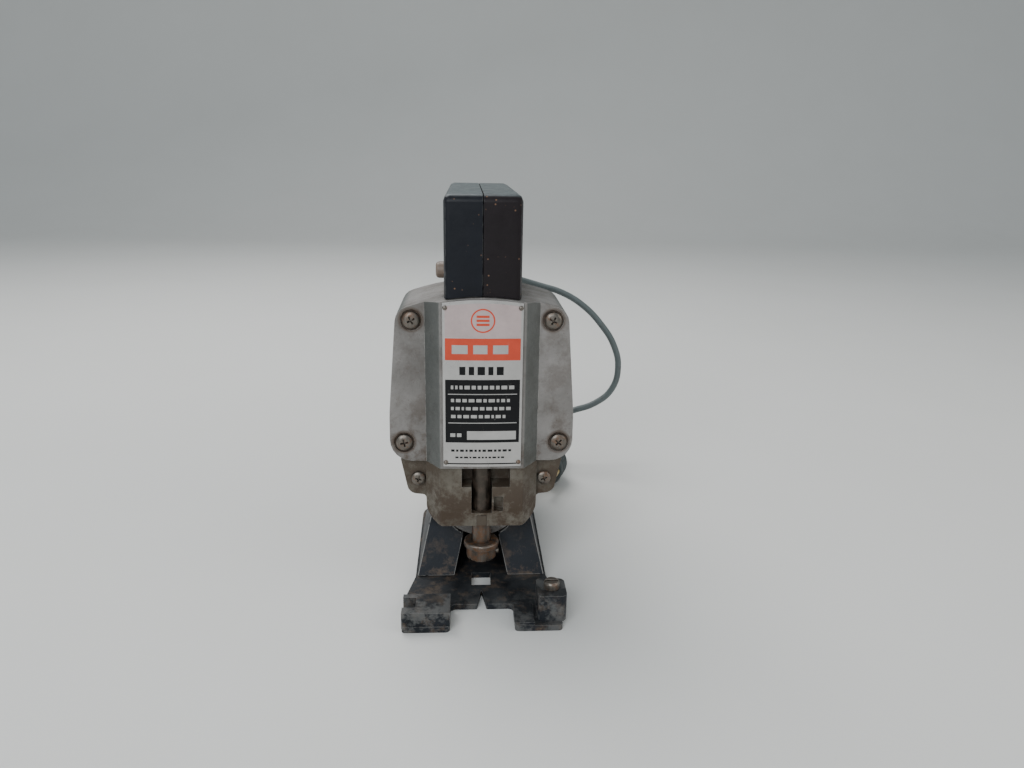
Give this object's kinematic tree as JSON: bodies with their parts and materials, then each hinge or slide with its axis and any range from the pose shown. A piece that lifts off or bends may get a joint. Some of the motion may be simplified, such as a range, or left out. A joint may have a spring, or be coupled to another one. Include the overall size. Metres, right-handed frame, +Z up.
{
  "type": "jigsaw power tool",
  "caption": "Small all-metal jigsaw with a bolted black D handle, front nameplate cover, reciprocating plunger with blade clamp, tilting slotted base and a mains cord with plug.",
  "frame": {"origin": "middle of the tool's length and width on the surface that the sole stands on", "axes": "+Z up, -Y to the front where the nameplate and the blade clamp are, +X to the right of someone facing the nameplate"},
  "size_m": [0.1493, 0.3075, 0.201],
  "materials": {
    "cast_aluminium": "sand-cast, worn and dusty",
    "dirty_cast": "sand-cast, stained brown with old grease",
    "etched_plate": "printed and lacquered plate",
    "screw_steel": "zinc worn to grey steel",
    "black_steel": "blackened pressed steel with bare worn edges",
    "bright_steel": "ground",
    "bakelite": "black moulded resin, polished by handling",
    "button_plastic": "aged beige-brown",
    "rubber": "grey-green, matt",
    "cord_sheath": "grey-green flexible sheath",
    "copper": "varnished wire",
    "brass": "turned",
    "carbon": "pressed carbon",
    "laminations": "stacked sheets",
    "felt": "oiled felt"
  },
  "bodies": {
    "tool": {"front_cover": "cast_aluminium", "guide_housing": "dirty_cast", "gear_housing": "cast_aluminium", "nameplate": "etched_plate", "cover_screw_upper_left": "screw_steel", "cover_screw_upper_right": "screw_steel", "cover_screw_lower_left": "screw_steel", "cover_screw_lower_right": "screw_steel", "lug_screw_left": "screw_steel", "lug_screw_right": "screw_steel", "gear_shaft": "bright_steel", "plunger_bush": "brass", "dust_seal": "felt", "motor_housing": "cast_aluminium", "rear_cover": "cast_aluminium", "rear_screw_upper": "screw_steel", "rear_screw_lower": "screw_steel", "field_stator": "laminations", "field_coil_upper": "copper", "field_coil_lower": "copper", "front_bearing": "bright_steel", "rear_bearing": "bright_steel", "brush_left": "carbon", "brush_holder_left": "brass", "brush_cap_left": "bakelite", "brush_right": "carbon", "brush_holder_right": "brass", "brush_cap_right": "bakelite", "handle_left": "bakelite", "handle_right": "bakelite", "handle_screw_front": "screw_steel", "handle_screw_rear": "screw_steel", "trigger_pin": "bright_steel", "switch_body": "bakelite", "tilt_bolt_front": "screw_steel", "tilt_bolt_rear": "screw_steel", "strain_relief": "rubber", "cord_lead": "cord_sheath", "cord_tail": "cord_sheath", "cord_coil": "cord_sheath", "plug_body": "rubber", "plug_pin_left": "brass", "plug_pin_right": "brass"},
    "armature": {"armature_shaft": "bright_steel", "armature_core": "laminations", "armature_winding_front": "copper", "armature_winding_rear": "copper", "commutator": "copper", "cooling_fan": "cast_aluminium"},
    "crank": {"drive_gear": "screw_steel", "crank_pin": "bright_steel"},
    "plunger": {"plunger": "bright_steel", "blade_clamp": "bright_steel", "blade_clamp_screw": "screw_steel"},
    "trigger": {"trigger": "bakelite"},
    "lock_button": {"lock_button": "button_plastic"},
    "base": {"base": "black_steel", "tilt_bracket": "black_steel", "fence_clamp_block": "black_steel"},
    "fence_screw": {"fence_screw": "screw_steel"}
  },
  "joints": [
    {"name": "armature_spin", "type": "hinge", "parent": "tool", "child": "armature", "pos_m": [0, 0, 0.093], "axis": [0, 1, 0], "continuous": true},
    {"name": "crank_spin", "type": "hinge", "parent": "tool", "child": "crank", "pos_m": [0, 0, 0.1193], "axis": [0, 1, 0], "continuous": true},
    {"name": "plunger_slide", "type": "slide", "parent": "tool", "child": "plunger", "axis": [0, 0, 1], "range_m": [-0.009, 0.009]},
    {"name": "trigger_pull", "type": "hinge", "parent": "tool", "child": "trigger", "pos_m": [0, -0.0057, 0.18], "axis": [1, 0, 0], "range_deg": [0, 7], "stiffness_Nm_per_rad": 0.6, "springref_deg": -6.88},
    {"name": "lock_button_press", "type": "slide", "parent": "tool", "child": "lock_button", "axis": [1, 0, 0], "range_m": [0, 0.003], "stiffness_N_per_m": 300, "springref_m": -0.002},
    {"name": "base_tilt", "type": "hinge", "parent": "tool", "child": "base", "pos_m": [0, 0, 0.043], "axis": [0, 1, 0], "range_deg": [-45, 45]},
    {"name": "fence_screw_turn", "type": "hinge", "parent": "base", "child": "fence_screw", "pos_m": [0.03355, -0.08345, 0.017], "axis": [0, 0, 1], "range_deg": [0, 540]}
  ],
  "couplings": [
    {"joint": "crank_spin", "follows": "armature_spin", "ratio": -0.18182}
  ]
}
